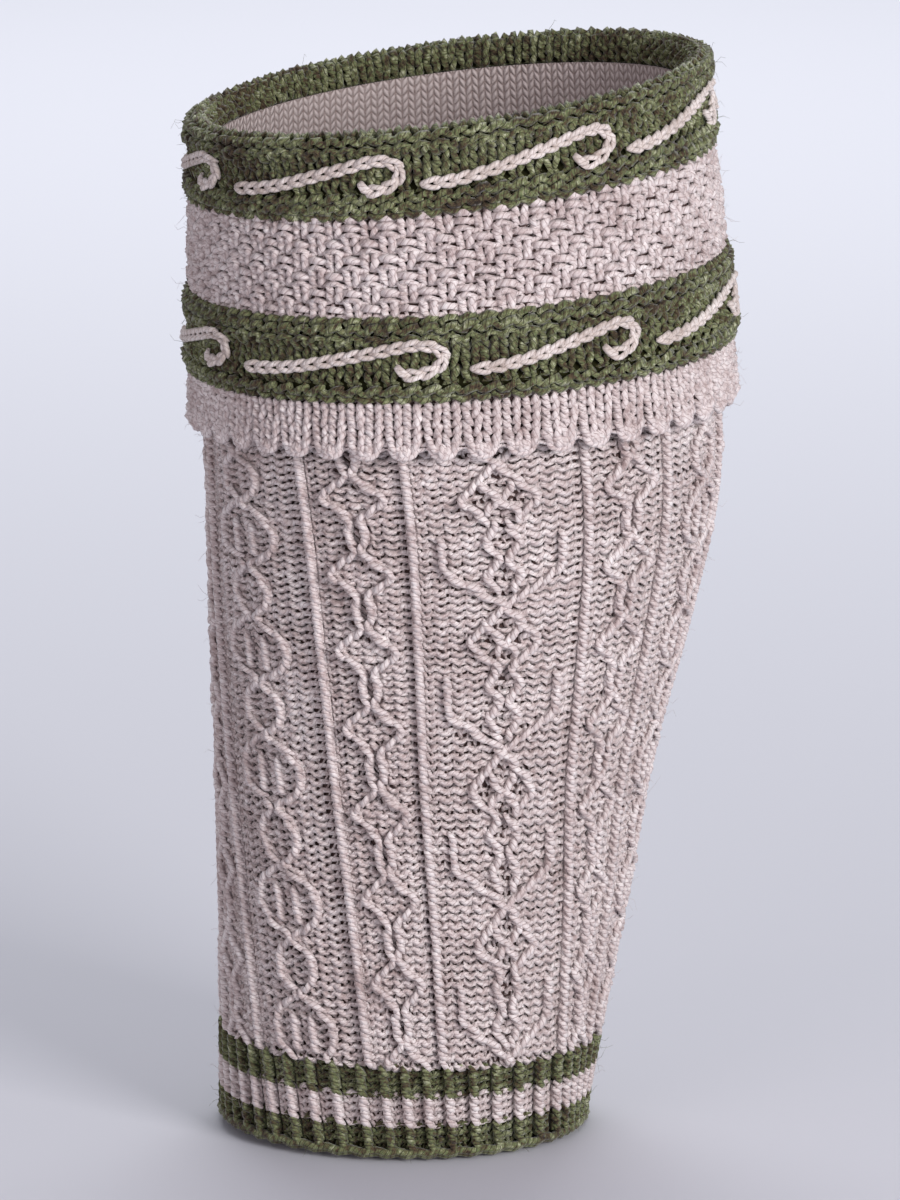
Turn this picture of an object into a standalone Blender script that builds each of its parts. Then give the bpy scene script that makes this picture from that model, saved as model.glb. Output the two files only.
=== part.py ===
# A knitted calf warmer in the hollow form it has when worn: a patterned leg tube, a striped rib
# hem and a turned-down cuff with two green borders, a moss stitch band, a scalloped frill and
# sixteen sewn-on crochet hooks. Metres, +Z up, the origin in the middle of the top opening.
# The front is towards -Y. Sizes below are in millimetres and degrees.
import math

import bpy

MM = 0.001

# The worn form: the inner face of the knit. One row for each section, evenly spaced down the leg.
# below: depth under the top edge. left, right: the side edges seen from the front. tilt: how far a
# course of knitting climbs towards +X. nod: how far it drops towards the front.
SECTION_COLUMNS = ("below", "left", "right", "tilt", "nod")
SECTIONS = (
    (0.0, -56.9, 56.0, 0.128, 0.035),
    (32.0, -56.4, 59.0, 0.088, 0.035),
    (64.0, -55.9, 61.2, 0.062, 0.030),
    (96.0, -55.1, 61.3, 0.030, 0.010),
    (128.0, -54.4, 54.8, 0.002, 0.0),
    (160.0, -53.6, 46.7, -0.016, 0.0),
    (192.0, -53.0, 41.0, -0.024, 0.0),
    (224.0, -52.8, 34.9, -0.024, 0.0),
    (256.0, -52.8, 29.8, -0.015, 0.0),
)
DEPTH_RATIO = 0.92
HEIGHT_PASSES = 2

# How the knit lies round the leg, where it leans and is stretched. Each row is a place in the
# knitting and the angle it comes to at each of the three depths.
WALES = (
    (-76.65, -81.0, -69.6, -54.4),
    (-43.35, -38.0, -27.7, -14.5),
    (-18.85, -12.2, -3.6, 8.1),
    (0.0, 7.9, 16.8, 28.7),
    (18.85, 28.4, 36.8, 50.2),
    (43.35, 51.9, 57.8, 67.5),
    (90.0, 98.0, 103.0, 112.0),
    (180.0, 182.0, 190.0, 202.0),
)
WALE_DEPTHS = (90.0, 155.0, 220.0)
WHOLE_TURN = 360.0

# Below this depth the knit is stretched lengthwise too.
STRETCH_DEPTH = 145.0
STRETCH = 1.09

REPEATS = 3
REPEAT_ANGLE = WHOLE_TURN / REPEATS

# Depths of the pieces under the top edge, with the gap kept at each seam.
SEAM = 0.3
LEG_TOP = 6.8
PATTERN_TOP = 62.0
HEM_TOP = 229.8
HEM_STRIPE_EDGES = (229.8, 237.0, 244.4, 250.4)
MOSS_TOP = 19.9
MOSS_BOTTOM = 43.3
FRILL_TOP = 63.4
FRILL_NOTCH = 74.8
FRILL_TIP = 77.6

# Walls, measured out from the inner face.
LEG_WALL = 1.8
LINE_RISE = 0.9
RIB_VALLEY = 1.5
RIB_CREST = 2.6
CUFF_OUT_TOP = 4.6
CUFF_FLARE = 0.026
CUFF_WALL = 2.0
RIDGE_RISE = 1.3
MOSS_CROWN = 0.35
FRILL_WALL = 1.8
FRILL_LIFT = 0.35

# The bound-off edge at the foot of the hem: its height, how far it is drawn in above the edge,
# its roundest point and its lip.
BIND_OFF_HEIGHT = 2.2
BIND_OFF_TUCK = 0.3
BIND_OFF_OUT = 2.2
BIND_OFF_LIP = 1.3

# The upper border's turn over the fold, up the inside and down behind the cuff: depth and out.
FOLD_INSIDE = ((2.6, 0.0), (0.9, 0.6), (-0.2, 2.0), (-0.3, 3.4))
FOLD_GAP = 2.5
FOLD_CREASE = (2.4, 2.15)

# A border's outer face: share of the border's height, share of the ridges' rise.
RIDGE_SHAPE = (
    (0.0, 0.25), (0.08, 0.85), (0.17, 1.0), (0.27, 0.75), (0.36, 0.05),
    (0.64, 0.05), (0.72, 0.7), (0.83, 1.0), (0.93, 0.8), (1.0, 0.3),
)

# Counts round the leg, and the steps of the walls.
HEM_RIBS = 51
SCALLOPS = 44
COLUMNS_PER_SCALLOP = 3
INNER_COLUMNS = 36
BORDER_COLUMNS = 40
MOSS_COLUMNS = 48
WALL_ROW_STEP = 19.0
SHARP_ANGLE = 50.0

# The raised lines of each panel, one row for each bend in a repeat of the pattern.
# share: place in the repeat. line: the line's distance from the panel's middle, in degrees.
# arm, arm_up: the same for the outer arm, and whether it is raised there.
# A line's foot is LINE_FOOT degrees from its crest, and no bend comes nearer than BEND_MARGIN to
# the ends of the pattern.
LINE_FOOT = 1.25
FOOT_SHARE = 0.45
BEND_MARGIN = 1.0
RIB_PLACES = (18.85, 43.35)
SMALL_PANEL_PLACE = 31.1
LARGE_PANEL_PLACE = 60.0
SMALL_DIAMONDS = {
    "pitch": 19.2, "centre": 88.4,
    "columns": ("share", "line"),
    "rows": ((-0.28, 1.9), (0.0, 6.8), (0.28, 1.9)),
}
LARGE_DIAMONDS = {
    "pitch": 28.8, "centre": 101.2,
    "columns": ("share", "line"),
    "rows": ((-0.27, 1.0), (0.0, 10.0), (0.27, 1.0), (0.5, 5.4)),
}
LATTICE = {
    "pitch": 35.3, "centre": 89.2,
    "columns": ("share", "line", "arm", "arm_up"),
    "rows": (
        (-0.205, 1.0, 6.0, 0.0),
        (0.0, 8.4, 13.0, 0.0),
        (0.205, 1.0, 12.8, 0.0),
        (0.29, 4.1, 12.8, 1.0),
        (0.41, 1.0, 12.8, 1.0),
        (0.53, 4.0, 12.8, 1.0),
        (0.62, 1.0, 9.0, 1.0),
        (0.71, 1.0, 3.2, 1.0),
    ),
}

# The crochet hooks: start and span in degrees on the upper and on the lower border.
HOOK_COLUMNS = ("upper_start", "upper_span", "lower_start", "lower_span")
HOOKS = (
    (-98.5, 38.5, -96.0, 40.0),
    (-53.0, 43.0, -50.0, 47.5),
    (-6.5, 43.5, 2.0, 37.0),
    (41.0, 42.0, 44.5, 42.0),
    (88.0, 40.0, 90.5, 39.0),
    (132.5, 39.5, 134.0, 40.5),
    (176.5, 41.0, 178.0, 39.5),
    (221.0, 37.5, 221.5, 39.0),
)
HOOK_RADIUS = 1.2
HOOK_STEPS = 6
# The hook's line: along, its share of the span; across, its share of the border's height.
HOOK_PATH = (
    (0.0, 0.63), (0.16, 0.62), (0.34, 0.56), (0.52, 0.47), (0.70, 0.38), (0.85, 0.31),
    (0.94, 0.35), (0.985, 0.47), (0.95, 0.59), (0.88, 0.65), (0.80, 0.62),
)
UPPER_BORDER_SPAN = (0.0, 19.6)
LOWER_BORDER_SPAN = (43.6, 63.1)

GREEN_WOOL = (0.085, 0.115, 0.035)
NATURAL_WOOL = (0.52, 0.44, 0.40)
WOOL_ROUGHNESS = 0.9


def section_value(name, below):
    """Smooth value of one column of SECTIONS at a depth."""
    column = SECTION_COLUMNS.index(name)
    last = len(SECTIONS) - 1
    step = SECTIONS[1][0] - SECTIONS[0][0]
    place = min(max(below / step, 0.0), float(last))
    row = min(int(place), last - 1)
    part = place - row
    picks = [min(max(row + k, 0), last) for k in (-1, 0, 1, 2)]
    a, b, c, d = (SECTIONS[k][column] for k in picks)
    cubic = 3.0 * (b - c) + d - a
    square = 2.0 * a - 5.0 * b + 4.0 * c - d
    return b + 0.5 * part * (c - a + part * (square + part * cubic))


def surface(angle, below, out):
    """The point at an angle round the leg, a depth down it and a distance out from the inner face."""
    turn = math.radians(angle)
    height = -below
    for _ in range(HEIGHT_PASSES):
        left = section_value("left", -height)
        right = section_value("right", -height)
        half = (right - left) / 2.0
        side = (half + out) * math.sin(turn)
        front = -(DEPTH_RATIO * half + out) * math.cos(turn)
        height = -below + section_value("tilt", below) * side + section_value("nod", below) * front
    return ((left + right) / 2.0 * MM + side * MM, front * MM, height * MM)


def leg_angle(place, below):
    """Angle round the leg of a place in the knitting, from WALES."""
    turned = WHOLE_TURN * math.floor((place - WALES[0][0]) / WHOLE_TURN)
    rows = [*WALES, tuple(value + WHOLE_TURN for value in WALES[0])]
    after = next(k for k, row in enumerate(rows) if row[0] > place - turned)
    one, two = rows[after - 1], rows[after]
    part = (place - turned - one[0]) / (two[0] - one[0])
    top, middle, bottom = (a + (b - a) * part for a, b in zip(one[1:], two[1:]))
    down = (below - WALE_DEPTHS[1]) / (WALE_DEPTHS[1] - WALE_DEPTHS[0])
    slope = (bottom - top) / 2.0
    bow = (top + bottom) / 2.0 - middle
    return turned + middle + slope * down + bow * down ** 2


def leg_depth(charted):
    """Depth of a row of the pattern, which is charted at the pitch it has above STRETCH_DEPTH."""
    return charted + (STRETCH - 1.0) * max(charted - STRETCH_DEPTH, 0.0)


def leg_point(place, below, out):
    return surface(leg_angle(place, below), below, out)


def cuff_out(below):
    """The cuff's outer face stands a little further out towards its lower edge."""
    return CUFF_OUT_TOP + CUFF_FLARE * below


def plain_material(name, colour):
    material = bpy.data.materials.new(name)
    material.use_nodes = True
    shader = material.node_tree.nodes["Principled BSDF"]
    shader.inputs["Base Color"].default_value = (*colour, 1.0)
    shader.inputs["Roughness"].default_value = WOOL_ROUGHNESS
    shader.inputs["Metallic"].default_value = 0.0
    return material


def add_object(name, data, material, collection):
    data.materials.append(material)
    item = bpy.data.objects.new(name, data)
    collection.objects.link(item)
    return item


def add_mesh(name, points, faces, material, collection):
    mesh = bpy.data.meshes.new(name)
    mesh.from_pydata(points, [], faces)
    mesh.shade_smooth()
    mesh.set_sharp_from_angle(angle=math.radians(SHARP_ANGLE))
    return add_object(name, mesh, material, collection)


class Body:
    """Points and faces of one closed wall, gathered strip by strip."""

    def __init__(self):
        self.points = []
        self.faces = []

    def column(self, keys, points):
        """Adds a line of points and returns it as (key, index) pairs."""
        first = len(self.points)
        self.points.extend(points)
        return [(key, first + k) for k, key in enumerate(keys)]

    def zip(self, one, two):
        """Triangles between two lines whose keys both grow; they face the viewer who has one on the left."""
        i = 0
        j = 0
        while i < len(one) - 1 or j < len(two) - 1:
            one_next = one[i + 1][0] if i < len(one) - 1 else math.inf
            two_next = two[j + 1][0] if j < len(two) - 1 else math.inf
            if one_next <= two_next:
                self.faces.append((one[i][1], one[i + 1][1], two[j][1]))
                i += 1
            else:
                self.faces.append((one[i][1], two[j + 1][1], two[j][1]))
                j += 1

    def zip_round(self, columns, outward):
        """Triangles between each column and the next, all round."""
        for k, column in enumerate(columns):
            after = columns[(k + 1) % len(columns)]
            if outward:
                self.zip(column, after)
            else:
                self.zip(after, column)

    def rim(self, columns, places, end):
        """One end of each column, as a closed line keyed by its place round the leg."""
        line = [(place, column[end][1]) for place, column in zip(places, columns)]
        return line + [(line[0][0] + WHOLE_TURN, line[0][1])]


def wall_rows(top, bottom):
    """Evenly spaced depths from top to bottom."""
    steps = max(1, round((bottom - top) / WALL_ROW_STEP))
    return [top + (bottom - top) * k / steps for k in range(steps + 1)]


def walled_tube(outer, top, bottom, inner_rows):
    """A tube with a plain inside. outer holds, for each column, its place and its points."""
    body = Body()
    outer_columns = []
    for _, line in outer:
        keys = [below for _, below, _ in line]
        outer_columns.append(body.column(keys, [leg_point(*point) for point in line]))
    top_places = [line[0][0] for _, line in outer]
    bottom_places = [line[-1][0] for _, line in outer]
    inner_places = [top_places[0] + WHOLE_TURN * k / INNER_COLUMNS for k in range(INNER_COLUMNS)]
    inner_columns = []
    for place in inner_places:
        inner_columns.append(body.column(inner_rows, [leg_point(place, below, 0.0) for below in inner_rows]))
    body.zip_round(outer_columns, True)
    body.zip_round(inner_columns, False)
    body.zip(body.rim(outer_columns, top_places, 0), body.rim(inner_columns, inner_places, 0))
    body.zip(body.rim(inner_columns, inner_places, -1), body.rim(outer_columns, bottom_places, -1))
    return body


def motif_rows(motif):
    """Every bend of a panel's pattern between the pattern's top and the hem, with its ends added."""
    places = motif["columns"].index("share")
    bends = []
    first_repeat = math.floor((PATTERN_TOP - motif["centre"]) / motif["pitch"]) - 1
    last_repeat = math.ceil((HEM_TOP - motif["centre"]) / motif["pitch"]) + 1
    for repeat in range(first_repeat, last_repeat + 1):
        for row in motif["rows"]:
            below = leg_depth(motif["centre"] + (repeat + row[places]) * motif["pitch"])
            bends.append((below, row[1:]))
    bends.sort()

    def values_at(below):
        later = next(k for k, bend in enumerate(bends) if bend[0] >= below)
        before, after = bends[later - 1], bends[later]
        part = (below - before[0]) / (after[0] - before[0])
        return tuple(a + (b - a) * part for a, b in zip(before[1], after[1]))

    bottom = HEM_TOP - SEAM
    inside = [bend for bend in bends if PATTERN_TOP + BEND_MARGIN < bend[0] < bottom - BEND_MARGIN]
    return [(PATTERN_TOP, values_at(PATTERN_TOP)), *inside, (bottom, values_at(bottom))]


def plain_start(place):
    """The part of a column that the cuff covers, with no raised lines."""
    rows = wall_rows(LEG_TOP, PATTERN_TOP)[:-1]
    return [(place, below, LEG_WALL) for below in rows]


def line_profile(line, arm=None, arm_up=0.0):
    """Half a panel's section as (place, rise): its middle, then each line between its two feet."""
    joined = 1.0 if line < LINE_FOOT else 0.0
    places = [(0.0, joined), (max(line - LINE_FOOT, line / 2.0), joined), (line, 1.0)]
    if arm is None:
        return places + [(line + LINE_FOOT, 0.0)]
    foot = min(LINE_FOOT, FOOT_SHARE * (arm - line))
    return places + [(line + foot, 0.0), (arm - foot, 0.0), (arm, arm_up), (arm + LINE_FOOT, 0.0)]


def line_columns(middle, motif):
    """The columns of a panel: its middle and, on each side, its lines and their feet."""
    rows = motif_rows(motif)
    count = len(line_profile(*rows[0][1]))
    columns = []
    for pick in range(-(count - 1), count):
        sign = -1.0 if pick < 0 else 1.0
        line = []
        for below, values in rows:
            off, up = line_profile(*values)[abs(pick)]
            line.append((middle + sign * off, below, LEG_WALL + up * LINE_RISE))
        first_place = line[0][0]
        columns.append((first_place, plain_start(first_place) + line))
    return columns


def rib_columns(place):
    """A single raised rib: foot, crest, foot."""
    rows = wall_rows(PATTERN_TOP, HEM_TOP - SEAM)
    columns = []
    for off, rise in ((-LINE_FOOT, 0.0), (0.0, LINE_RISE), (LINE_FOOT, 0.0)):
        line = [(place + off, below, LEG_WALL + rise) for below in rows]
        columns.append((place + off, plain_start(place + off) + line))
    return columns


def build_leg_tube(material, collection):
    columns = []
    for repeat in range(REPEATS):
        middle = repeat * REPEAT_ANGLE
        columns += line_columns(middle, LATTICE)
        columns += line_columns(middle + LARGE_PANEL_PLACE, LARGE_DIAMONDS)
        for side in (-1.0, 1.0):
            columns += line_columns(middle + side * SMALL_PANEL_PLACE, SMALL_DIAMONDS)
            for place in RIB_PLACES:
                columns += rib_columns(middle + side * place)
    columns.sort(key=lambda column: column[0])
    bottom = HEM_TOP - SEAM
    body = walled_tube(columns, LEG_TOP, bottom, wall_rows(LEG_TOP, bottom))
    return add_mesh("leg_tube", body.points, body.faces, material, collection)


def build_hem_stripe(name, top, bottom, material, collection, curled=False):
    """A stripe of one-by-one rib; the lowest one has a thick bound-off edge that curls under."""
    columns = []
    for k in range(2 * HEM_RIBS):
        place = WHOLE_TURN * k / (2 * HEM_RIBS)
        out = RIB_CREST if k % 2 == 0 else RIB_VALLEY
        rows = [(place, top, out)]
        if curled:
            rows.append((place, bottom - BIND_OFF_HEIGHT, out - BIND_OFF_TUCK))
            rows.append((place, bottom - BIND_OFF_HEIGHT / 2.0, BIND_OFF_OUT))
            rows.append((place, bottom, BIND_OFF_LIP))
        else:
            rows += [(place, bottom, out)]
        columns.append((place, rows))
    body = walled_tube(columns, top, bottom, [top, bottom])
    return add_mesh(name, body.points, body.faces, material, collection)


def swept_ring(name, profile, columns, material, collection):
    """A closed profile of (below, out) points, taken once round the leg."""
    points = []
    for k in range(columns):
        angle = WHOLE_TURN * k / columns
        points.extend(surface(angle, below, out) for below, out in profile)
    count = len(profile)
    faces = []
    for k in range(columns):
        here = k * count
        after = (k + 1) % columns * count
        for j in range(count):
            following = (j + 1) % count
            faces.append((here + j, here + following, after + following, after + j))
    return add_mesh(name, points, faces, material, collection)


def ridge_line(span):
    """Outer face of a border, as (below, out): ridge, recess, ridge."""
    top, bottom = span
    line = []
    for share, rise in RIDGE_SHAPE:
        below = top + (bottom - top) * share
        line.append((below, cuff_out(below) + rise * RIDGE_RISE))
    return line


def build_upper_border(material, collection):
    """Wraps from the inside, over the fold, and down the outside."""
    inner_end = LEG_TOP - SEAM
    inside = [(inner_end, 0.0), *FOLD_INSIDE]
    outside = ridge_line(UPPER_BORDER_SPAN)
    bottom = UPPER_BORDER_SPAN[1]
    back = [(bottom, cuff_out(bottom) - CUFF_WALL), (inner_end, FOLD_GAP), FOLD_CREASE, (inner_end, LEG_WALL)]
    return swept_ring("cuff_border_upper", inside + outside + back, BORDER_COLUMNS, material, collection)


def build_lower_border(material, collection):
    top, bottom = LOWER_BORDER_SPAN
    outside = ridge_line(LOWER_BORDER_SPAN)
    back = [(bottom, cuff_out(bottom) - CUFF_WALL), (top, cuff_out(top) - CUFF_WALL)]
    return swept_ring("cuff_border_lower", outside + back, BORDER_COLUMNS, material, collection)


def walled_sheet(name, columns, rows_at, wall, material, collection):
    """An open ring of cloth from its outer points, thickened inwards."""
    points = []
    for k in range(columns):
        points.extend(surface(WHOLE_TURN * k / columns, below, out) for below, out in rows_at(k))
    count = len(rows_at(0))
    faces = []
    for k in range(columns):
        here = k * count
        after = (k + 1) % columns * count
        for j in range(count - 1):
            faces.append((here + j, here + j + 1, after + j + 1, after + j))
    sheet = add_mesh(name, points, faces, material, collection)
    thick = sheet.modifiers.new("wall", "SOLIDIFY")
    thick.thickness = wall * MM
    thick.offset = -1.0
    return sheet


def build_moss_band(material, collection):
    middle = (MOSS_TOP + MOSS_BOTTOM) / 2.0
    rows = [
        (MOSS_TOP, cuff_out(MOSS_TOP)),
        (middle, cuff_out(middle) + MOSS_CROWN),
        (MOSS_BOTTOM, cuff_out(MOSS_BOTTOM)),
    ]
    return walled_sheet("cuff_moss_band", MOSS_COLUMNS, lambda _: rows, CUFF_WALL, material, collection)


def build_frill(material, collection):
    """Each scallop has a notch and two points at its tip."""

    def rows_at(k):
        edge = FRILL_NOTCH if k % COLUMNS_PER_SCALLOP == 0 else FRILL_TIP
        return [(FRILL_TOP, cuff_out(FRILL_TOP)), (edge, cuff_out(edge) + FRILL_LIFT)]

    columns = SCALLOPS * COLUMNS_PER_SCALLOP
    return walled_sheet("cuff_frill", columns, rows_at, FRILL_WALL, material, collection)


def border_out(span, below):
    """Outer face of a border at one depth."""
    line = ridge_line(span)
    if below <= line[0][0]:
        return line[0][1]
    for (start, start_out), (end, end_out) in zip(line, line[1:]):
        if below <= end:
            return start_out + (end_out - start_out) * (below - start) / (end - start)
    return line[-1][1]


def hook_out(span, below):
    """Distance out of a chain's middle, so that its round side clears the border by the seam's gap."""
    reach = 0.0
    for k in range(-HOOK_STEPS, HOOK_STEPS + 1):
        step = HOOK_RADIUS * k / HOOK_STEPS
        side = math.sqrt(max(HOOK_RADIUS ** 2 - step ** 2, 0.0))
        reach = max(reach, border_out(span, below + step) + side)
    return reach + SEAM


def build_hook(name, start, width, span, material, collection):
    """A crochet chain bent into a hook, laid on a border."""
    curve = bpy.data.curves.new(name, "CURVE")
    curve.dimensions = "3D"
    curve.bevel_depth = HOOK_RADIUS * MM
    curve.bevel_resolution = 2
    curve.use_fill_caps = True
    spline = curve.splines.new("POLY")
    spline.points.add(len(HOOK_PATH) - 1)
    for point, (along, across) in zip(spline.points, HOOK_PATH):
        below = span[0] + (span[1] - span[0]) * across
        x, y, z = surface(start + width * along, below, hook_out(span, below))
        point.co = (x, y, z, 1.0)
    return add_object(name, curve, material, collection)


def build_hooks(material, collection):
    for number, row in enumerate(HOOKS, 1):
        hook = dict(zip(HOOK_COLUMNS, row))
        build_hook(f"hook_upper_{number}", hook["upper_start"], hook["upper_span"],
                   UPPER_BORDER_SPAN, material, collection)
        build_hook(f"hook_lower_{number}", hook["lower_start"], hook["lower_span"],
                   LOWER_BORDER_SPAN, material, collection)


for old in list(bpy.data.objects):
    bpy.data.objects.remove(old, do_unlink=True)

calf_warmer = bpy.data.collections.new("calf_warmer")
bpy.context.scene.collection.children.link(calf_warmer)
green = plain_material("green_wool", GREEN_WOOL)
natural = plain_material("natural_wool", NATURAL_WOOL)

build_leg_tube(natural, calf_warmer)
first, second, third, last = HEM_STRIPE_EDGES
build_hem_stripe("hem_stripe_upper", first, second - SEAM, green, calf_warmer)
build_hem_stripe("hem_stripe_middle", second, third - SEAM, natural, calf_warmer)
build_hem_stripe("hem_stripe_lower", third, last, green, calf_warmer, curled=True)
build_upper_border(green, calf_warmer)
build_moss_band(natural, calf_warmer)
build_lower_border(green, calf_warmer)
build_frill(natural, calf_warmer)
build_hooks(natural, calf_warmer)
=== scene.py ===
import math

import bpy
import numpy as np
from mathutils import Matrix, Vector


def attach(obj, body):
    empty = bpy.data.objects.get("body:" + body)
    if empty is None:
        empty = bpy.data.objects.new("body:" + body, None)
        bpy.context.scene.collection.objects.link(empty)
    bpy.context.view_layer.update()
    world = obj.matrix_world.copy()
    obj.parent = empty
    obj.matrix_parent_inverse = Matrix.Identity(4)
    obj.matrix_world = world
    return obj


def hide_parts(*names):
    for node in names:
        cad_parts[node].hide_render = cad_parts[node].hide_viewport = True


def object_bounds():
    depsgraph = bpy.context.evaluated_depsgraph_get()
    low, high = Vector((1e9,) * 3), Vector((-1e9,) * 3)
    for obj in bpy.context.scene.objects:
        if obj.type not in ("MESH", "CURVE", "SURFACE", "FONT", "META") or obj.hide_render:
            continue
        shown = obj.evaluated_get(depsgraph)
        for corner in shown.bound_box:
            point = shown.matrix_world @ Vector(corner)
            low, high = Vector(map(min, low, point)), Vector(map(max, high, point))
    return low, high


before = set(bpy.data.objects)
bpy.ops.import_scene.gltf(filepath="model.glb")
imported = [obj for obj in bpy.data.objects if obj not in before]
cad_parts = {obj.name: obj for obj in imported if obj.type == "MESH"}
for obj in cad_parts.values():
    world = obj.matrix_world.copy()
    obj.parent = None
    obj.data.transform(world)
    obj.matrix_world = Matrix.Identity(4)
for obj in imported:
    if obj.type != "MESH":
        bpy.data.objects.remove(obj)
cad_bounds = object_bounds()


# The leg: a tube knitted in the round, downwards from the cuff, in a fine heathered wool of the
# sheep's own colour. Travelling stitches stand on a purl ground in ribs, diamonds and a lattice.

# The worn form: the inner face of the knit, in millimetres, one value every SECTION_STEP down the leg.
# left, right: side edges seen from the front. tilt, nod: how a course climbs to the right and forwards.
SECTION_STEP = 32.0
SECTION_LEFT = np.array([-56.9, -56.4, -55.9, -55.1, -54.4, -53.6, -53.0, -52.8, -52.8])
SECTION_RIGHT = np.array([56.0, 59.0, 61.2, 61.3, 54.8, 46.7, 41.0, 34.9, 29.8])
SECTION_TILT = np.array([0.128, 0.088, 0.062, 0.030, 0.002, -0.016, -0.024, -0.024, -0.015])
SECTION_NOD = np.array([0.035, 0.035, 0.030, 0.010, 0.0, 0.0, 0.0, 0.0, 0.0])
DEPTH_RATIO = 0.92
MM = 0.001

# How the knit lies round the leg: a place in the knitting, and its angle at three depths.
WALES = np.array([
    (-76.65, -81.0, -69.6, -54.4),
    (-43.35, -38.0, -27.7, -14.5),
    (-18.85, -12.2, -3.6, 8.1),
    (0.0, 7.9, 16.8, 28.7),
    (18.85, 28.4, 36.8, 50.2),
    (43.35, 51.9, 57.8, 67.5),
    (90.0, 98.0, 103.0, 112.0),
    (180.0, 182.0, 190.0, 202.0),
    (283.35, 279.0, 290.4, 305.6),
])
WALE_MIDDLE_DEPTH = 155.0
WALE_DEPTH_STEP = 65.0
STRETCH_DEPTH = 145.0
STRETCH = 1.09


def smooth_value(values, place):
    """A column of a table read smoothly between its rows, at places counted in rows."""
    last = len(values) - 1
    row = np.minimum(place.astype(int), last - 1)
    part = place - row
    a, b, c, d = (values[np.clip(row + k, 0, last)] for k in (-1, 0, 1, 2))
    cubic = 3.0 * (b - c) + d - a
    square = 2.0 * a - 5.0 * b + 4.0 * c - d
    return b + 0.5 * part * (c - a + part * (square + part * cubic))


def section_value(values, below):
    """Value of one column of the worn form at a depth."""
    return smooth_value(values, np.clip(below / SECTION_STEP, 0.0, len(values) - 1.0))


def surface(angle, below, out):
    """Points at angles round the leg, depths down it and distances out from the inner face."""
    angle, below, out = np.broadcast_arrays(*(np.asarray(value, float) for value in (angle, below, out)))
    turn = np.radians(angle)
    height = -below
    # The side edges change with the height and the height with the sides, so both are found twice.
    for _ in range(2):
        left = section_value(SECTION_LEFT, -height)
        right = section_value(SECTION_RIGHT, -height)
        half = (right - left) / 2.0
        side = (half + out) * np.sin(turn)
        front = -(DEPTH_RATIO * half + out) * np.cos(turn)
        climb = section_value(SECTION_TILT, below) * side + section_value(SECTION_NOD, below) * front
        height = climb - below
    return np.stack([(left + right) / 2.0 + side, front, height], axis=-1) * MM


def degree_width(angle, below, out):
    """How many millimetres one degree takes up at a place."""
    return np.linalg.norm(surface(angle + 1.0, below, out) - surface(angle, below, out), axis=-1) / MM


def leg_angle(place, below):
    """Angle round the leg of a place in the knitting, which leans and is stretched unevenly."""
    turned = 360.0 * np.floor((place - WALES[0, 0]) / 360.0)
    top, middle, bottom = (np.interp(place - turned, WALES[:, 0], WALES[:, k]) for k in (1, 2, 3))
    down = (below - WALE_MIDDLE_DEPTH) / WALE_DEPTH_STEP
    return turned + middle + (bottom - top) / 2.0 * down + ((top + bottom) / 2.0 - middle) * down ** 2


def leg_depth(charted):
    """Depth of a course that is charted at the height courses have in the upper leg."""
    return charted + (STRETCH - 1.0) * np.maximum(charted - STRETCH_DEPTH, 0.0)


def add_node(tree, kind, inputs=None, stops=(), **settings):
    """Adds a node and gives its outputs. Each input takes a value or another node's output."""
    added = tree.nodes.new(kind)
    for name, value in settings.items():
        setattr(added, name, value)
    for name, value in (inputs or {}).items():
        if isinstance(value, bpy.types.NodeSocket):
            tree.links.new(value, added.inputs[name])
        else:
            added.inputs[name].default_value = value
    for number, (position, colour) in enumerate(stops):
        ramp = added.color_ramp.elements
        stop = ramp[number] if number < len(ramp) else ramp.new(position)
        stop.position = position
        stop.color = colour
    return added.outputs


def add_object(name, data):
    """An object of a mesh, a lamp or a camera, linked to the scene."""
    item = bpy.data.objects.new(name, data)
    bpy.context.scene.collection.objects.link(item)
    return item


def add_material(name, settings):
    """A material with the plain inputs of its shader set, and with the shader and its node tree."""
    material = bpy.data.materials.new(name)
    material.use_nodes = True
    shader = material.node_tree.nodes["Principled BSDF"]
    for label, value in settings.items():
        shader.inputs[label].default_value = value
    return material, shader, material.node_tree


def add_relief(tree, shader, colour, strength, deep_mm, height):
    """Gives a shader its colour and a bump of a depth in millimetres."""
    bump = add_node(tree, "ShaderNodeBump", {
        "Strength": strength, "Distance": deep_mm * MM, "Height": height})
    tree.links.new(bump["Normal"], shader.inputs["Normal"])
    tree.links.new(colour, shader.inputs["Base Color"])


def linear(hex_colour):
    """An sRGB hex colour as the linear colour that Blender's nodes take."""
    parts = [int(hex_colour[k:k + 2], 16) / 255.0 for k in (1, 3, 5)]
    return (*(p / 12.92 if p <= 0.04045 else ((p + 0.055) / 1.055) ** 2.4 for p in parts), 1.0)


STRAND_INPUTS = (
    ("Geometry", "Geometry"), ("Strand radius", "Float"), ("Strand sides", "Int"), ("Wool", "Material"))


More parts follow.
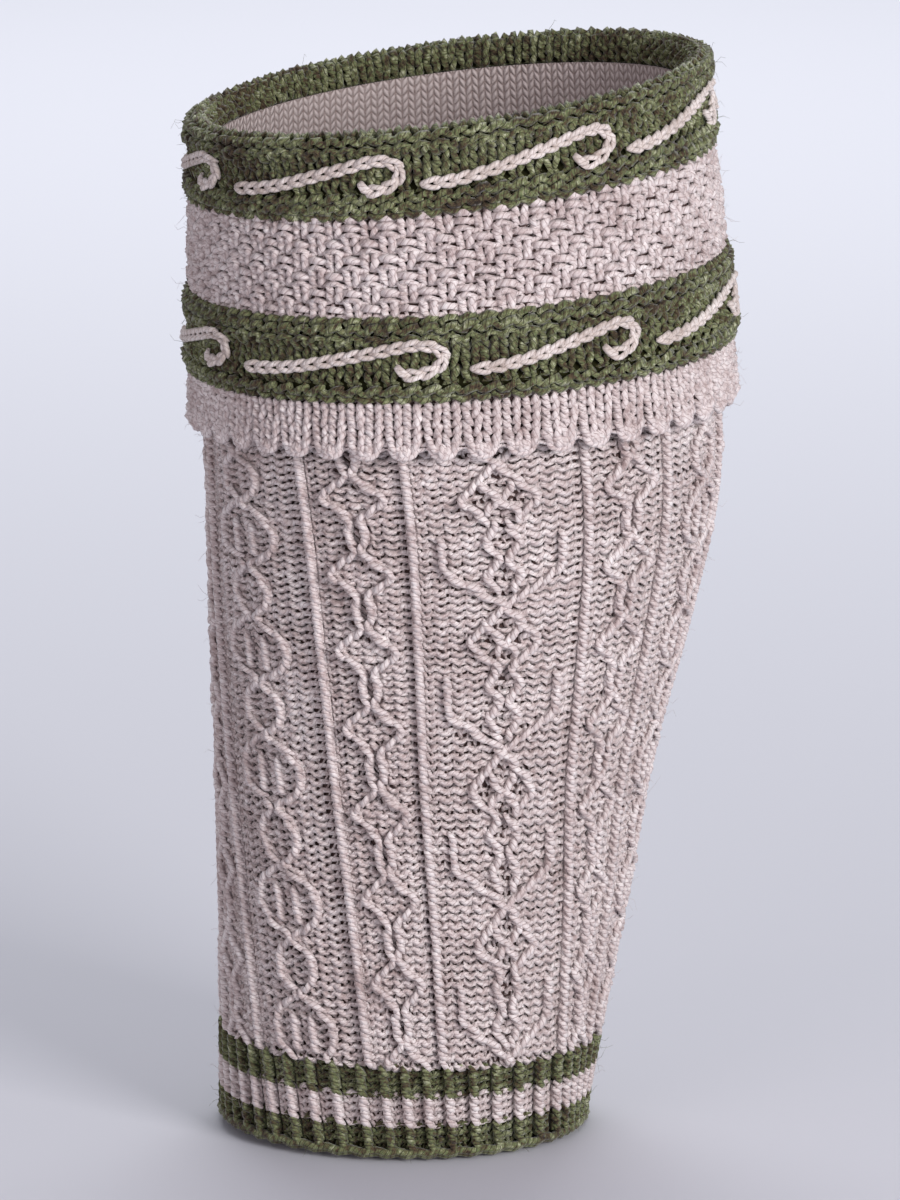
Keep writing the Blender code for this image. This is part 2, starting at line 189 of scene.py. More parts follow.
def strand_tree():
    """Sweeps a round strand of wool along every line of a mesh, scaled by the points' thickness."""
    tree = bpy.data.node_groups.new("strand_along_lines", "GeometryNodeTree")
    for name, kind in STRAND_INPUTS:
        tree.interface.new_socket(name, in_out="INPUT", socket_type=f"NodeSocket{kind}")
    tree.interface.new_socket("Geometry", in_out="OUTPUT", socket_type="NodeSocketGeometry")
    given = add_node(tree, "NodeGroupInput")
    line = add_node(tree, "GeometryNodeMeshToCurve", {"Mesh": given["Geometry"]})
    length = add_node(tree, "GeometryNodeSplineParameter")
    measured = add_node(tree, "GeometryNodeStoreNamedAttribute", {
        "Geometry": line["Curve"], "Name": "along", "Value": length["Length"]})
    ring = add_node(tree, "GeometryNodeCurvePrimitiveCircle", {
        "Resolution": given["Strand sides"], "Radius": given["Strand radius"]})
    place = add_node(tree, "GeometryNodeInputPosition")
    marked = add_node(tree, "GeometryNodeStoreNamedAttribute", {
        "Geometry": ring["Curve"], "Name": "round", "Value": place["Position"]}, data_type="FLOAT_VECTOR")
    thickness = add_node(tree, "GeometryNodeInputNamedAttribute", {"Name": "thickness"})
    swept = add_node(tree, "GeometryNodeCurveToMesh", {
        "Curve": measured["Geometry"], "Profile Curve": marked["Geometry"],
        "Scale": thickness["Attribute"], "Fill Caps": True})
    smooth = add_node(tree, "GeometryNodeSetShadeSmooth", {"Geometry": swept["Mesh"]})
    single = add_node(tree, "GeometryNodeRealizeInstances", {"Geometry": smooth["Geometry"]})
    dyed = add_node(tree, "GeometryNodeSetMaterial", {
        "Geometry": single["Geometry"], "Material": given["Wool"]})
    add_node(tree, "NodeGroupOutput", {"Geometry": dyed["Geometry"]})
    return tree


STRAND_TREE = strand_tree()


def spin(name, lines, radius, wool, sides=4):
    """Makes lines of yarn into one mesh. A line is its points, their thickness and tone (a value each
    or one for all) and whether it closes."""
    edges = []
    first = 0
    for points, _, _, closed in lines:
        run = first + np.arange(len(points))
        pairs = np.stack([run, np.roll(run, -1)], axis=1)
        edges.append(pairs if closed else pairs[:-1])
        first += len(points)
    edges = np.concatenate(edges)
    mesh = bpy.data.meshes.new(name)
    mesh.vertices.add(first)
    mesh.vertices.foreach_set("co", np.concatenate([line[0] for line in lines]).ravel())
    mesh.edges.add(len(edges))
    mesh.edges.foreach_set("vertices", edges.ravel())
    for column, label in ((1, "thickness"), (2, "tone")):
        values = np.concatenate([np.broadcast_to(line[column], len(line[0])) for line in lines])
        stored = mesh.attributes.new(label, "FLOAT", "POINT").data
        stored.foreach_set("value", values.astype(np.float32))
    item = add_object(name, mesh)
    sweep = item.modifiers.new("strand", "NODES")
    sweep.node_group = STRAND_TREE
    sockets = {s.name: s.identifier for s in STRAND_TREE.interface.items_tree if s.in_out == "INPUT"}
    sweep[sockets["Strand radius"]] = radius * MM
    sweep[sockets["Strand sides"]] = sides
    sweep[sockets["Wool"]] = wool
    ready = bpy.context.evaluated_depsgraph_get()
    plain = bpy.data.meshes.new_from_object(
        item.evaluated_get(ready), preserve_all_data_layers=True, depsgraph=ready)
    item.modifiers.clear()
    item.data = plain
    bpy.data.meshes.remove(mesh)
    return item


# One loop of a course: turns round the loop, from the sinker on its left to the one on its right.
# A purl shows its head and its sinkers, a knit stitch its two legs, and a loop that a travelling
# stitch covers lies flat behind it. A head lies in front where the stitch above is a purl.
COVERED, PURL, KNIT = 0, 1, 2
LOOP_SIDE = 1.57
PURL_TURNS = (-math.pi, -2.6, -LOOP_SIDE, -0.55, 0.0, 0.55, LOOP_SIDE, 2.6)
KNIT_TURNS = (-math.pi, -2.3, -LOOP_SIDE, -0.85, 0.0, 0.85, LOOP_SIDE, 2.3)
LOOP_TURNS = np.array([PURL_TURNS, PURL_TURNS, KNIT_TURNS])
LOOP_KEPT = np.array([[1, 0] * 4, [1] * 8, [1] * 8], bool)
# One value a kind: which way the loop faces, how far it bulges sideways, how far its head and
# sinkers reach up and down in courses, how far it lies back in millimetres, and how much it slants.
LOOP_FACE = np.array([0.0, 1.0, -1.0])
LOOP_SWELL = np.array([0.0, 0.32, 0.28])
LOOP_REACH = np.array([0.46, 0.62, 0.80])
LOOP_SINK = np.array([-0.25, 0.0, 0.0])
LOOP_LEANS = np.array([0.0, 1.0, 0.3])
FRONT_THICKER = 0.6
BAR_THICKER = 0.34
# How uneven hand knitting is: each loop's lift, place, reach, row and thickness.
UNEVEN_LIFT = 0.05
UNEVEN_PLACE = 0.03
UNEVEN_REACH = 0.06
UNEVEN_ROW = 0.03
UNEVEN_THICKNESS = 0.06
knitter = np.random.default_rng(7)


def course(centres, widths, kinds, above, row, height, form, at, apart=None, pressed=0.0):
    """One course of loops, as a closed line of yarn. above: the kinds of the stitches worked into
    it; form: how far heads and sinkers come forward, how they slant and how much they arch; at:
    places it on the knit; apart, pressed: how far a hole and a raised line move each loop."""
    head_rise, sinker_rise, lean, arch = form
    turns = LOOP_TURNS[kinds]
    samples = turns.shape[1]
    own = np.repeat(LOOP_FACE[kinds][:, None], samples, axis=1)
    own[:, 0] = (own[:, 0] + np.roll(own[:, 1], 1)) / 2.0
    is_head = np.abs(turns) < LOOP_SIDE
    end = np.where(is_head, LOOP_FACE[above][:, None], own)
    forward = np.where(is_head, head_rise, sinker_rise)
    middle = (head_rise + sinker_rise) / 2.0
    near_end = 0.5 + 0.5 * np.cos(2.0 * turns)
    lift = end * near_end * forward - own * (1.0 - near_end) * middle
    uneven = knitter.normal(0.0, 1.0, (len(kinds), 3))
    lift += LOOP_SINK[kinds][:, None] + UNEVEN_LIFT * uneven[:, 2:] - np.reshape(pressed, (-1, 1))
    place = turns / math.tau + LOOP_SWELL[kinds][:, None] * np.sin(2.0 * turns)
    place = centres[:, None] + widths[:, None] * (place + UNEVEN_PLACE * uneven[:, :1])
    if apart is not None:
        place += apart[:, None]
        lift[(apart > 0.0) & (np.roll(apart, 1) < 0.0), 0] = -HOLE_SINK
    reach = LOOP_REACH[kinds][:, None] * np.cos(turns)
    reach += arch * (kinds == PURL)[:, None] * np.cos(3.0 * turns)
    reach += lean * LOOP_LEANS[kinds][:, None] * np.sin(turns)
    depth = row - height * (reach * (1.0 + UNEVEN_REACH * uneven[:, 1:2]) + UNEVEN_ROW * uneven[:, 2:])
    kept = LOOP_KEPT[kinds]
    thickness = 1.0 + FRONT_THICKER * near_end * (forward - middle) + BAR_THICKER * own * (near_end - 0.5)
    thickness += UNEVEN_THICKNESS * uneven[:, 2:]
    tone = np.repeat(uneven[:, 1:2], samples, axis=1)
    return at(place[kept], depth[kept], lift[kept]), thickness[kept], tone[kept], True


# Two-ply heathered wool, softly spun: fibres from brown to nearly white lie side by side, so that
# each strand is streaked along its length. The groove between its plies is painted darker: painted shade.
PLY_PITCH = 2.6
PLIES = 2.0
PATCH_STRENGTH = 0.45
TONE_STRENGTH = 0.025
SHADE_MIDDLE = 0.775
SHADE_RANGE = {"From Min": 0.68, "From Max": 1.32}


def heathered_wool(name, stops, painted_groove_shade, sheen, heather_mm=2.0, fleck=1.0, streak=0.6):
    """heather_mm: how often the roving's shade changes; fleck, streak: how strongly that shows, and
    how strongly its single fibres do."""
    material, shader, tree = add_material(name, {
        "Roughness": 0.82, "Specular IOR Level": 0.25, "Sheen Weight": sheen, "Sheen Roughness": 0.45})
    where = add_node(tree, "ShaderNodeTexCoord")["Object"]
    along = add_node(tree, "ShaderNodeAttribute", attribute_name="along")["Fac"]
    ring = add_node(tree, "ShaderNodeAttribute", attribute_name="round")["Vector"]
    # tone: each loop's own random shade, with a painted highlight or painted shade added for raised
    # stitches, bridges and hairs.
    tone = add_node(tree, "ShaderNodeAttribute", attribute_name="tone")["Fac"]
    side = add_node(tree, "ShaderNodeSeparateXYZ", {0: ring})
    turn = add_node(tree, "ShaderNodeMath", {0: side["Y"], 1: side["X"]}, operation="ARCTAN2")[0]
    twist = add_node(tree, "ShaderNodeMath", {0: along, 1: math.tau / (PLY_PITCH * MM), 2: turn},
                     operation="MULTIPLY_ADD")[0]
    phase = add_node(tree, "ShaderNodeMath", {0: twist, 1: PLIES / 2.0}, operation="MULTIPLY")[0]
    wave = add_node(tree, "ShaderNodeMath", {0: phase}, operation="SINE")[0]
    plies = add_node(tree, "ShaderNodeMath", {0: wave}, operation="ABSOLUTE")[0]
    # Fibres: streaks about 0.15 mm wide and 2 mm long that follow the twist.
    long_way = add_node(tree, "ShaderNodeMath", {0: along, 1: 0.5 / MM}, operation="MULTIPLY")[0]
    streaks = add_node(tree, "ShaderNodeCombineXYZ", {"X": long_way, "Y": twist})[0]
    fibres = add_node(tree, "ShaderNodeTexNoise", {
        "Vector": streaks, "Scale": 2.2, "Detail": 3.0, "Roughness": 0.7})["Fac"]
    # Heather: the shade of the roving changes along the yarn and again over patches of 15 mm.
    heather = add_node(tree, "ShaderNodeTexNoise", {
        "Vector": where, "Scale": 1.0 / (heather_mm * MM), "Detail": 3.0, "Roughness": 0.65})["Fac"]
    patches = add_node(tree, "ShaderNodeTexNoise", {
        "Vector": where, "Scale": 0.07 / MM, "Detail": 1.0})["Fac"]
    # The patterns lie round 0.5, so that the middle shade stays where it is however strong they are.
    mixed = SHADE_MIDDLE - 0.5 * (fleck + streak)
    for pattern, strength in (
            (heather, fleck), (fibres, streak), (patches, PATCH_STRENGTH), (tone, TONE_STRENGTH)):
        mixed = add_node(tree, "ShaderNodeMath", {0: pattern, 1: strength, 2: mixed},
                         operation="MULTIPLY_ADD")[0]
    spread = add_node(tree, "ShaderNodeMapRange", {"Value": mixed, **SHADE_RANGE})[0]
    dyes = [(position, linear(dye)) for position, dye in stops]
    colour = add_node(tree, "ShaderNodeValToRGB", {"Fac": spread}, stops=dyes)["Color"]
    # The groove between the plies takes the painted groove shade colour: painted shade, not a colour of the
    # wool.
    groove = add_node(tree, "ShaderNodeMapRange", {"Value": plies, "From Max": 0.45})[0]
    shaded = add_node(tree, "ShaderNodeMix", {0: groove, 6: linear(painted_groove_shade), 7: colour}, data_type="RGBA")[2]
    relief = add_node(tree, "ShaderNodeMath", {0: fibres, 1: 0.8, 2: plies}, operation="MULTIPLY_ADD")[0]
    add_relief(tree, shader, shaded, 0.55, 0.12, relief)
    return material


NATURAL_WOOL = heathered_wool("two_ply_natural_heathered_wool", (
    (0.0, "#988482"), (0.25, "#BEAEAC"), (0.5, "#D5C9C8"), (0.75, "#E3DAD9"), (1.0, "#F1ECEB")),
    "#A59392", 0.25, streak=0.8)


# The cloth behind the loops. Outside, where it shows in the gaps, it is painted dark: painted shade for the
# knit in its own shadow. Inside it is smooth columns of plain stitches, since the purl ground's back is
# plain knitting.
def stitched_cloth(name, light, dark, bump_mm):
    """Plain knitting on a UV map whose units are one stitch across and one course down."""
    material, shader, tree = add_material(name, {"Roughness": 0.95, "Specular IOR Level": 0.1})
    grid = add_node(tree, "ShaderNodeUVMap", uv_map="stitches")["UV"]
    across, down = add_node(tree, "ShaderNodeSeparateXYZ", {0: grid})[:2]
    within = add_node(tree, "ShaderNodeMath", {0: across}, operation="FRACT")[0]
    middle = add_node(tree, "ShaderNodeMath", {0: within, 1: 0.5}, operation="SUBTRACT")[0]
    from_middle = add_node(tree, "ShaderNodeMath", {0: middle}, operation="ABSOLUTE")[0]
    slanted = add_node(tree, "ShaderNodeMath", {0: from_middle, 1: 1.5, 2: down},
                       operation="MULTIPLY_ADD")[0]
    course_wave = add_node(tree, "ShaderNodeMath", {0: slanted, 1: math.pi}, operation="MULTIPLY")[0]
    course_sine = add_node(tree, "ShaderNodeMath", {0: course_wave}, operation="SINE")[0]
    leg = add_node(tree, "ShaderNodeMath", {0: course_sine}, operation="ABSOLUTE")[0]
    wale_wave = add_node(tree, "ShaderNodeMath", {0: from_middle, 1: math.tau}, operation="MULTIPLY")[0]
    wale_sine = add_node(tree, "ShaderNodeMath", {0: wale_wave}, operation="SINE")[0]
    relief = add_node(tree, "ShaderNodeMath", {0: leg, 1: wale_sine}, operation="MULTIPLY")[0]
    where = add_node(tree, "ShaderNodeTexCoord")["Object"]
    heather = add_node(tree, "ShaderNodeTexNoise", {
        "Vector": where, "Scale": 0.9 / MM, "Detail": 3.0, "Roughness": 0.7})["Fac"]
    # The colour follows the stitches' relief, darker in the grooves between them: painted shade, on top of
    # the wool's heather.
    uneven = add_node(tree, "ShaderNodeMath", {0: heather, 1: 0.8, 2: relief}, operation="MULTIPLY_ADD")[0]
    dyes = ((0.2, linear(dark)), (1.0, linear(light)))
    colour = add_node(tree, "ShaderNodeValToRGB", {"Fac": uneven}, stops=dyes)["Color"]
    add_relief(tree, shader, colour, 0.8, bump_mm, uneven)
    return material


# The gap colours are painted shade; the inside colours are the wool's own, darkened in the grooves as
# painted shade.
NATURAL_CLOTH = (
    stitched_cloth("natural_wool_in_the_gaps_painted_shade", "#524240", "#3F3130", 0.15),
    stitched_cloth("inside_of_the_natural_knit", "#D3C7C5", "#8A7874", 0.7))


def sleeve(name, outside, inside, columns, angle_at, stitches, course_height, materials, stripe_at=None):
    """A closed ring of cloth, from lines of (below, out) down its outside and up its inside. Each
    stripe has a material for its outside and one for its inside."""
    profile = [*outside, *inside]
    count = len(profile)
    below, out = (np.array([point[k] for point in profile]) for k in (0, 1))
    places = np.arange(columns) * 360.0 / columns
    points = surface(angle_at(places[:, None], below[None, :]), below[None, :], out[None, :]).reshape(-1, 3)
    faces = []
    stitch_corners = []
    material_slots = []
    for k in range(columns):
        here = k * count
        after = (k + 1) % columns * count
        for j in range(count):
            following = (j + 1) % count
            faces.append((here + j, here + following, after + following, after + j))
            left, right = (c * stitches / columns for c in (k, k + 1))
            top, bottom = below[j] / course_height, below[following] / course_height
            stitch_corners += [(left, top), (left, bottom), (right, bottom), (right, top)]
            stripe = stripe_at((below[j] + below[following]) / 2.0) if stripe_at else 0
            material_slots.append(2 * stripe + (j >= len(outside) - 1))
    mesh = bpy.data.meshes.new(name)
    mesh.from_pydata([tuple(p) for p in points], [], faces)
    mesh.uv_layers.new(name="stitches").data.foreach_set("uv", np.array(stitch_corners, np.float32).ravel())
    for material in materials:
        mesh.materials.append(material)
    mesh.polygons.foreach_set("material_index", material_slots)
    mesh.shade_smooth()
    mesh.set_sharp_from_angle(angle=math.radians(60.0))
    return add_object(name, mesh)


LEG_TOP = 6.8
HEM_TOP = 229.8
SEAM = 0.3
LEG_BACKING = 0.5
LEG_STITCHES = 102
COURSE_HEIGHT = 1.92
LEG_CLOTH_ROWS = 46
LEG_CLOTH_COLUMNS = 136
leg_depths = np.linspace(LEG_TOP, HEM_TOP - SEAM, LEG_CLOTH_ROWS)
leg_cloth = sleeve(
    "leg_cloth", [(d, LEG_BACKING) for d in leg_depths], [(d, 0.0) for d in leg_depths[::-1]],
    LEG_CLOTH_COLUMNS, leg_angle, LEG_STITCHES, COURSE_HEIGHT, NATURAL_CLOTH)

# The chart. A line is drawn on both sides of its panel's middle. One row for each of its corners:
# share of the repeat, distance from the middle in degrees of the knitting, and whether it is drawn.
# A panel's repeats are one pitch apart, with one of them centred at the depth that it gives.
REPEATS_ROUND = 3
REPEAT_ANGLE = 360.0 / REPEATS_ROUND
REPEAT_COUNT = 15
REPEATS_ABOVE = 3.0
RIB_PLACES = (18.85, 43.35)
RIB_HALF = 1.5
# The wales in half a repeat: from its middle to a rib, the rib's own, to the next rib, its own, the rest.
WALE_COUNTS = (5, 1, 6, 1, 4)
RIB_DEPTHS = np.array([0.0, 300.0])
LATTICE_SIDES = (
    (-0.265, 0.0, 1), (0.0, -8.4, 1), (0.170, -0.7, 1), (0.175, -0.7, 0), (0.245, 12.8, 0),
    (0.25, 12.8, 1), (0.49, 12.8, 1))
LATTICE_RINGS = (
    (0.14, 0.9, 0), (0.16, 0.9, 1), (0.285, 3.9, 1), (0.405, 0.7, 1), (0.525, 3.8, 1), (0.645, 0.9, 1),
    (0.665, 0.9, 0))
LATTICE_CROSS = ((-0.145, -4.2, 0), (-0.135, -4.2, 1), (0.0, 0.0, 1), (0.085, 4.2, 1), (0.095, 4.2, 0))
LARGE_DIAMOND = (
    (-0.30, 0.0, 1), (-0.27, 0.0, 1), (-0.20, 5.2, 1), (-0.11, 7.9, 1), (0.0, 8.6, 1), (0.11, 7.6, 1),
    (0.20, 4.4, 1), (0.26, 0.0, 1), (0.29, 0.0, 1), (0.35, 3.4, 1), (0.43, 4.9, 1), (0.52, 5.1, 1),
    (0.62, 3.9, 1), (0.68, 1.5, 1))
LARGE_DIAMOND_BARS = ((-0.14, 2.6, 0), (-0.13, 2.6, 1), (0.13, 2.6, 1), (0.14, 2.6, 0))
SMALL_DIAMOND = (
    (-0.41, 1.9, 1), (-0.34, 0.0, 1), (-0.30, 0.0, 1), (-0.04, 7.0, 1), (0.05, 7.0, 1), (0.28, 0.6, 1),
    (0.31, 0.6, 1), (0.38, 1.9, 1))
# One row a panel: its places in a third of the way round, its lines, its pitch and its centre.
PANELS = {
    "lattice": ((0.0,), (LATTICE_SIDES, LATTICE_RINGS, LATTICE_CROSS), 35.3, 89.2),
    "large diamonds": ((60.0,), (LARGE_DIAMOND, LARGE_DIAMOND_BARS), 28.8, 101.2),
    "small diamonds": ((31.1, -31.1), (SMALL_DIAMOND,), 19.2, 88.4),
}
PATTERN_START = 58.0
pattern_end = STRETCH_DEPTH + (HEM_TOP - SEAM - STRETCH_DEPTH) / STRETCH


def repeat_depths(panel, shares):
    """Depths of places in every repeat of a panel, one row for each repeat."""
    *_, pitch, centre = PANELS[panel]
    repeats = np.arange(REPEAT_COUNT)[:, None] - REPEATS_ABOVE
    return leg_depth(centre + (repeats + np.array(shares)) * pitch)


def pattern_lines():
    """Every raised line: its panel's middle and side, and its depths, distances and drawn parts."""
    lines = []
    for repeat in range(REPEATS_ROUND):
        middle = repeat * REPEAT_ANGLE
        for side in (-1.0, 1.0):
            for panel, (places, panel_lines, *_) in PANELS.items():
                for corners in panel_lines:
                    shares, *columns = zip(*corners)
                    depths = repeat_depths(panel, shares).ravel()
                    distances, drawn = (np.tile(column, REPEAT_COUNT) for column in columns)
                    for place in places:
                        lines.append((middle + place, side, depths, distances, drawn))
            for place in RIB_PLACES:
                lines.append((middle, side, RIB_DEPTHS, np.array([place, place]), np.ones(2)))
    return lines


PATTERN = pattern_lines()
DRAWN_FROM = 0.72


def line_place(line, below):
    """Where a raised line is at a depth, in degrees of the knitting."""
    middle, side, depths, distances, _ = line
    return middle + side * np.interp(below, depths, distances)


def line_drawn(line, below):
    """Whether a raised line shows at a depth."""
    _, _, depths, _, drawn = line
    return np.interp(below, depths, drawn) > DRAWN_FROM


def leg_wales():
    """Centre and width of each wale in degrees of the knitting, from the back round to the back."""
    ribs = [place + half for place in RIB_PLACES for half in (-RIB_HALF, RIB_HALF)]
    bounds = [0.0, *ribs, REPEAT_ANGLE / 2.0]
    wales = []
    for start, end, count in zip(bounds, bounds[1:], WALE_COUNTS):
        width = (end - start) / count
        for k in range(count):
            for repeat in range(REPEATS_ROUND):
                for side in (-1.0, 1.0):
                    place = repeat * REPEAT_ANGLE + side * (start + (k + 0.5) * width)
                    wales.append(((place - 180.0) % 360.0 + 180.0, width))
    return np.array(sorted(wales)).T


wale_places, wale_widths = leg_wales()
LEG_YARN_OUT = 0.85
LEG_YARN_RADIUS = 0.73
LEG_FORM = (0.50, 0.74, 0.34, 0.07)
# Beside a raised line the purl loops are pressed back, and right behind it they are covered: how
# near to the line that is, in stitches, and how far they are pressed.
COVER_SHARE = 0.15
PRESS_SHARE = 0.65
PRESS_DEPTH = 0.55


def on_leg(place, charted, lift):
    """Places loops on the leg, by their place in the knitting and their charted depth."""
    below = leg_depth(charted)
    return surface(leg_angle(place, below), below, LEG_YARN_OUT + lift)


# The lattice's small holes, where a sinker lies back between two loops that are drawn apart: share
# of the repeat, and distance from its middle.
HOLES = ((-0.17, 0.0), (-0.05, 3.47), (-0.05, -3.47), (0.05, 0.0), (0.25, 0.0), (0.49, 0.0))
HOLE_REACH = 2.0
HOLE_APART = 0.45
HOLE_SINK = 1.1


def drawn_apart(below):
    """How far each wale's loop is drawn aside by a hole at a depth."""
    depths = repeat_depths("lattice", [share for share, _ in HOLES])
    from_middle = (wale_places + REPEAT_ANGLE / 2.0) % REPEAT_ANGLE - REPEAT_ANGLE / 2.0
    apart = np.zeros(LEG_STITCHES)
    for hole_depths, (_, place) in zip(depths.T, HOLES):
        if np.abs(hole_depths - below).min() < COURSE_HEIGHT / 2.0:
            near = np.abs(from_middle - place) < HOLE_REACH
            apart[near] = HOLE_APART * np.sign(from_middle - place)[near]
    return apart


course_count = round((pattern_end - PATTERN_START) / COURSE_HEIGHT)
course_height = (pattern_end - PATTERN_START) / course_count
leg_courses = []
course_depths = []
above = np.full(LEG_STITCHES, PURL)
for number in range(course_count):
    charted = PATTERN_START + (number + 0.5) * course_height
    below = float(leg_depth(charted))
    lines_here = np.array([line_place(line, below) for line in PATTERN if line_drawn(line, below)])
    turned = (wale_places[:, None] - lines_here + 180.0) % 360.0 - 180.0
    from_lines = np.abs(turned).min(axis=1) / wale_widths
    kinds = np.where(from_lines < COVER_SHARE, COVERED, PURL)
    pressed = PRESS_DEPTH * np.clip(1.0 - from_lines / PRESS_SHARE, 0.0, 1.0) * (kinds == PURL)
    leg_courses.append(course(
        wale_places, wale_widths, kinds, above, charted, course_height, LEG_FORM, on_leg,
        drawn_apart(below), pressed))
    course_depths.append(below)
    above = kinds
half_way = len(leg_courses) // 2
leg_ground = [
    spin("leg_purl_ground_upper", leg_courses[:half_way], LEG_YARN_RADIUS, NATURAL_WOOL, sides=3),
    spin("leg_purl_ground_lower", leg_courses[half_way:], LEG_YARN_RADIUS, NATURAL_WOOL, sides=3),
]

# Travelling stitches: a raised line has a core and one twisted stitch on it at each course. How a
# stitch lies changes with the way the line heads, in degrees from straight down to the right: its
# turn from the line, its length in courses, its pairing beside the line and its height. Where the
# line runs down to the right its stitches lie along it in pairs; to the left they are a steep plait.
HEADINGS = np.array([-60.0, -40.0, 0.0, 40.0, 60.0])
STITCH_TURNS = np.array([17.0, 15.0, 32.0, 9.0, 5.0])
STITCH_LENGTHS = np.array([1.35, 1.45, 1.6, 1.8, 1.5])
STITCH_PAIRING = np.array([0.0, 0.0, 0.0, 0.36, 0.36])
STITCH_OUT = np.array([1.65, 1.65, 1.60, 1.90, 1.95])
STITCH_REACH = np.linspace(-0.5, 0.5, 5)
STITCH_TAPER = np.array([0.6, 1.0, 1.1, 1.0, 0.6])
STITCH_RISE = 1.0
CORE_OUT = 1.4
ROPE_RADIUS = 0.82
HEADING_UNEVEN = 3.0
# The raised stitches' tone is lifted above the ground's: a painted highlight, as they stand up into the
# light.
ROPE_PAINTED_HIGHLIGHT = 0.8
LINE_STEP = 0.25
LINE_SOFTENING = np.linspace(-0.9, 0.9, 5)
LINE_END = 2.5
SHOWN_FROM = 64.0


def travelling_stitches(line, depths):
    """The core and the twisted stitches of one raised line, at the depths of the courses."""
    drawn = np.flatnonzero([line_drawn(line, d) for d in depths])
    strands = []
    for run in np.split(drawn, np.flatnonzero(np.diff(drawn) > 1) + 1):
        # The line, with its corners softened, and its slope: how far it runs aside for each step down.
        at_courses = np.array(depths)[run]
        fine = np.arange(at_courses[0] - LINE_END, at_courses[-1] + LINE_END, LINE_STEP)
        near = np.clip(fine + LINE_SOFTENING[:, None], at_courses[0], at_courses[-1])
        angles = leg_angle(line_place(line, near).mean(axis=0), fine)
        across = degree_width(angles, fine, CORE_OUT)
        slope = np.gradient(angles, fine) * across
        stretch = np.sqrt(1.0 + slope ** 2)
        length = np.concatenate([[0.0], np.cumsum(LINE_STEP * stretch[1:])])
        # One stitch at each course, turned from the line.
        heading = np.degrees(np.arctan(np.interp(at_courses, fine, slope)))
        turned, courses, pairing, out = (np.interp(heading, HEADINGS, values) for values in (
            STITCH_TURNS, STITCH_LENGTHS, STITCH_PAIRING, STITCH_OUT))
        turned = np.radians(turned + knitter.normal(0.0, HEADING_UNEVEN, len(run)))[:, None]
        reach = STITCH_REACH * (courses * COURSE_HEIGHT * np.interp(at_courses, fine, stretch))[:, None]
        place = np.interp(at_courses, fine, length)[:, None] + reach * np.cos(turned)
        aside = reach * np.sin(turned) + (pairing * (-1.0) ** run)[:, None]
        angle, down, lean, wide = (np.interp(place, length, values)
                                   for values in (angles, fine, slope, across))
        lift = out[:, None] + STITCH_RISE * (1.0 - (2.0 * STITCH_REACH) ** 4)
        aside = aside / np.sqrt(1.0 + lean ** 2)
        stitches = surface(angle + aside / wide, down - aside * lean, lift)
        strands += [(points, STITCH_TAPER, tone, False)
                    for points, tone in zip(stitches, knitter.normal(ROPE_PAINTED_HIGHLIGHT, 1.0, len(run)))]
        if len(run) > 1:
            core = surface(np.interp(at_courses, fine, angles), at_courses, CORE_OUT)
            strands.append((core, 1.0, 0.0, False))
    return strands


shown_depths = [d for d in course_depths if d > SHOWN_FROM]
line_groups = {"lattice": [], "diamonds": []}
for line in PATTERN:
    group = "lattice" if line[0] % REPEAT_ANGLE == 0.0 else "diamonds"
    line_groups[group] += travelling_stitches(line, shown_depths)
leg_ropes = [spin(f"leg_travelling_stitches_{group}", strands, ROPE_RADIUS, NATURAL_WOOL)
             for group, strands in line_groups.items()]

# Loose fibres: fine hairs of the wool that stand off the yarn and curl.
FIBRE_RADIUS = 0.042
FIBRE_SHARES = np.array([0.0, 0.4, 0.75, 1.0])
FIBRE_DRIFT = 0.9
FIBRE_RISE = 1.2
FIBRE_SHORTEST = 0.3
FIBRE_LONGEST = 4.5
FIBRE_ROOT = 0.2
FIBRE_TAPER = np.array([1.0, 1.0, 0.85, 0.5])
LEG_FIBRES = 1750
LEG_FIBRES_FROM = 80.0
LEG_YARN_FACE = 1.7


def loose_fibres(name, count, span, out_at, wool):
    """Hairs all round a band. span: its depths; out_at: the outer face of its yarn by depth."""
    drift = knitter.normal(0.0, FIBRE_DRIFT, (2, count, len(FIBRE_SHARES))).cumsum(axis=2)
    angle = knitter.uniform(-180.0, 180.0, (count, 1)) + drift[0]
    below = knitter.uniform(*span, (count, 1)) + drift[1]
    rise = np.minimum(knitter.exponential(FIBRE_RISE, (count, 1)) + FIBRE_SHORTEST, FIBRE_LONGEST)
    points = surface(angle, below, out_at(np.clip(below, *span)) + rise * FIBRE_SHARES - FIBRE_ROOT)
    # The hairs' tone of 1.0 makes them a little lighter than the yarn: a painted highlight for the light
    # they catch.
    return spin(name, [(hair, FIBRE_TAPER, 1.0, False) for hair in points], FIBRE_RADIUS, wool, sides=3)


leg_fibres = loose_fibres("leg_loose_fibres", LEG_FIBRES, (LEG_FIBRES_FROM, HEM_TOP),
                          lambda _: LEG_YARN_FACE, NATURAL_WOOL)
for piece in (*leg_ground, *leg_ropes, leg_fibres, leg_cloth):
    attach(piece, "root")
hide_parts("leg_tube")


# The hem: eleven courses of one-by-one rib in green, natural and green wool, knitted last. Its knit
# stitches are twisted, so they stand up in ribs between the purl furrows, which draw the narrow end
# in. Two thick strands of the bind-off run round its edge.
GREEN_WOOL = heathered_wool("two_ply_green_melange_wool", (
    (0.0, "#1E1710"), (0.22, "#46382A"), (0.38, "#604F3B"), (0.47, "#536440"), (0.58, "#65754E"),
    (0.68, "#7D6F51"), (0.76, "#7A8761"), (0.87, "#94997A"), (1.0, "#B7BA9F")),
    "#2B2419", 0.22, heather_mm=1.8, fleck=1.25, streak=1.2)
